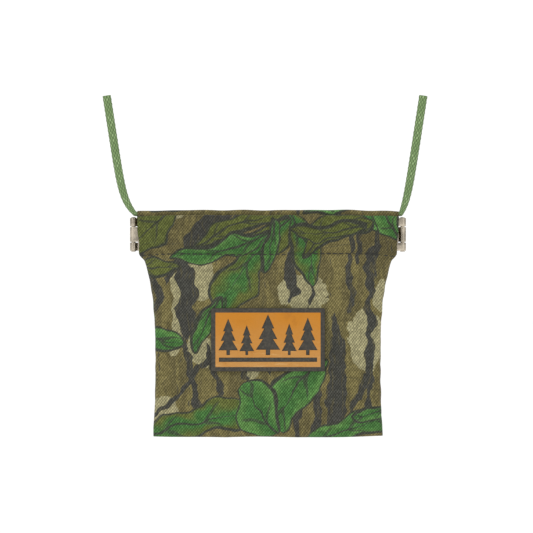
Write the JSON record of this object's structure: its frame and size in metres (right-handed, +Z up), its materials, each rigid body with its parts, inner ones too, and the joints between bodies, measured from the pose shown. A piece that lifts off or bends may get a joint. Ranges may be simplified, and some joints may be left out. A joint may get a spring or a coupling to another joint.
{
  "type": "squeeze-open neck pouch",
  "caption": "Flat camouflage fabric pouch with a squeeze-open spring frame in its hem, hinged at both ends, a leather patch on the front and a braided neck cord.",
  "frame": {"origin": "middle of the pouch's bottom edge", "axes": "+X to the right seen from the front, along the mouth; -Y out of the front, towards the leather patch's side; +Z up, from the bottom edge to the neck cord"},
  "size_m": [0.12, 0.0066, 0.1259],
  "materials": {
    "camo_twill": "printed cotton twill, matte",
    "dark_thread": "spun sewing thread",
    "spring_steel": "rolled spring steel",
    "nickel_plate": "nickel plate, slightly dulled",
    "tan_leather": "vegetable-tanned leather with a scorched edge",
    "green_cord": "tight braid"
  },
  "bodies": {
    "bag": {"bottom_seam": "camo_twill", "seam_thread": "dark_thread"},
    "front_wall": {"front_panel": "camo_twill", "front_casing": "camo_twill", "front_hem_thread": "dark_thread", "front_spring_band": "spring_steel", "leather_patch": "tan_leather"},
    "back_wall": {"back_panel": "camo_twill", "back_casing": "camo_twill", "back_hem_thread": "dark_thread", "back_spring_band": "spring_steel", "cord_run": "green_cord"},
    "left_end": {"left_hinge_pin": "nickel_plate", "left_side_seam": "camo_twill"},
    "right_end": {"right_hinge_pin": "nickel_plate", "right_side_seam": "camo_twill"},
    "left_front_leaf": {"left_front_leaf": "nickel_plate"},
    "left_back_leaf": {"left_back_leaf": "nickel_plate"},
    "right_front_leaf": {"right_front_leaf": "nickel_plate"},
    "right_back_leaf": {"right_back_leaf": "nickel_plate"},
    "left_cord": {"left_cord_leg": "green_cord"},
    "right_cord": {"right_cord_leg": "green_cord"}
  },
  "joints": [
    {"name": "mouth_open", "type": "hinge", "parent": "bag", "child": "front_wall", "pos_m": [0, 0, 0], "axis": [1, 0, 0], "range_deg": [0, 15], "stiffness_Nm_per_rad": 0.05, "deforming": ["front_panel", "front_casing", "front_hem_thread", "front_spring_band"]},
    {"name": "back_wall_open", "type": "hinge", "parent": "bag", "child": "back_wall", "pos_m": [0, 0, 0], "axis": [-1, 0, 0], "range_deg": [0, 15.01], "deforming": ["back_panel", "back_casing", "back_hem_thread", "back_spring_band", "cord_run"]},
    {"name": "left_end_lean", "type": "hinge", "parent": "bag", "child": "left_end", "pos_m": [-0.0407, 0, 0.0014], "axis": [0, 1, 0], "range_deg": [0, 4.06], "deforming": ["seam_thread"]},
    {"name": "right_end_lean", "type": "hinge", "parent": "bag", "child": "right_end", "pos_m": [0.0407, 0, 0.0014], "axis": [0, -1, 0], "range_deg": [0, 4.06]},
    {"name": "left_front_leaf_turn", "type": "hinge", "parent": "left_end", "child": "left_front_leaf", "pos_m": [-0.0495, 0, 0.0747], "axis": [0, 0, -1], "range_deg": [0, 37.01]},
    {"name": "left_back_leaf_turn", "type": "hinge", "parent": "left_end", "child": "left_back_leaf", "pos_m": [-0.0495, 0, 0.0747], "axis": [0, 0, 1], "range_deg": [0, 37.01]},
    {"name": "right_front_leaf_turn", "type": "hinge", "parent": "right_end", "child": "right_front_leaf", "pos_m": [0.0495, 0, 0.0747], "axis": [0, 0, 1], "range_deg": [0, 37.01]},
    {"name": "right_back_leaf_turn", "type": "hinge", "parent": "right_end", "child": "right_back_leaf", "pos_m": [0.0495, 0, 0.0747], "axis": [0, 0, -1], "range_deg": [0, 37.01]},
    {"name": "left_cord_swing", "type": "hinge", "parent": "left_end", "child": "left_cord", "pos_m": [-0.0487, 0.00155, 0.0823], "axis": [1, 0, 0], "range_deg": [-90, 90]},
    {"name": "right_cord_swing", "type": "hinge", "parent": "right_end", "child": "right_cord", "pos_m": [0.0487, 0.00155, 0.0823], "axis": [1, 0, 0], "range_deg": [-90, 90]}
  ],
  "couplings": [
    {"joint": "back_wall_open", "follows": "mouth_open", "ratio": 1},
    {"joint": "left_end_lean", "follows": "mouth_open", "ratio": 0.27},
    {"joint": "right_end_lean", "follows": "mouth_open", "ratio": 0.27},
    {"joint": "left_front_leaf_turn", "follows": "mouth_open", "ratio": 2.4667},
    {"joint": "left_back_leaf_turn", "follows": "mouth_open", "ratio": 2.4667},
    {"joint": "right_front_leaf_turn", "follows": "mouth_open", "ratio": 2.4667},
    {"joint": "right_back_leaf_turn", "follows": "mouth_open", "ratio": 2.4667}
  ]
}
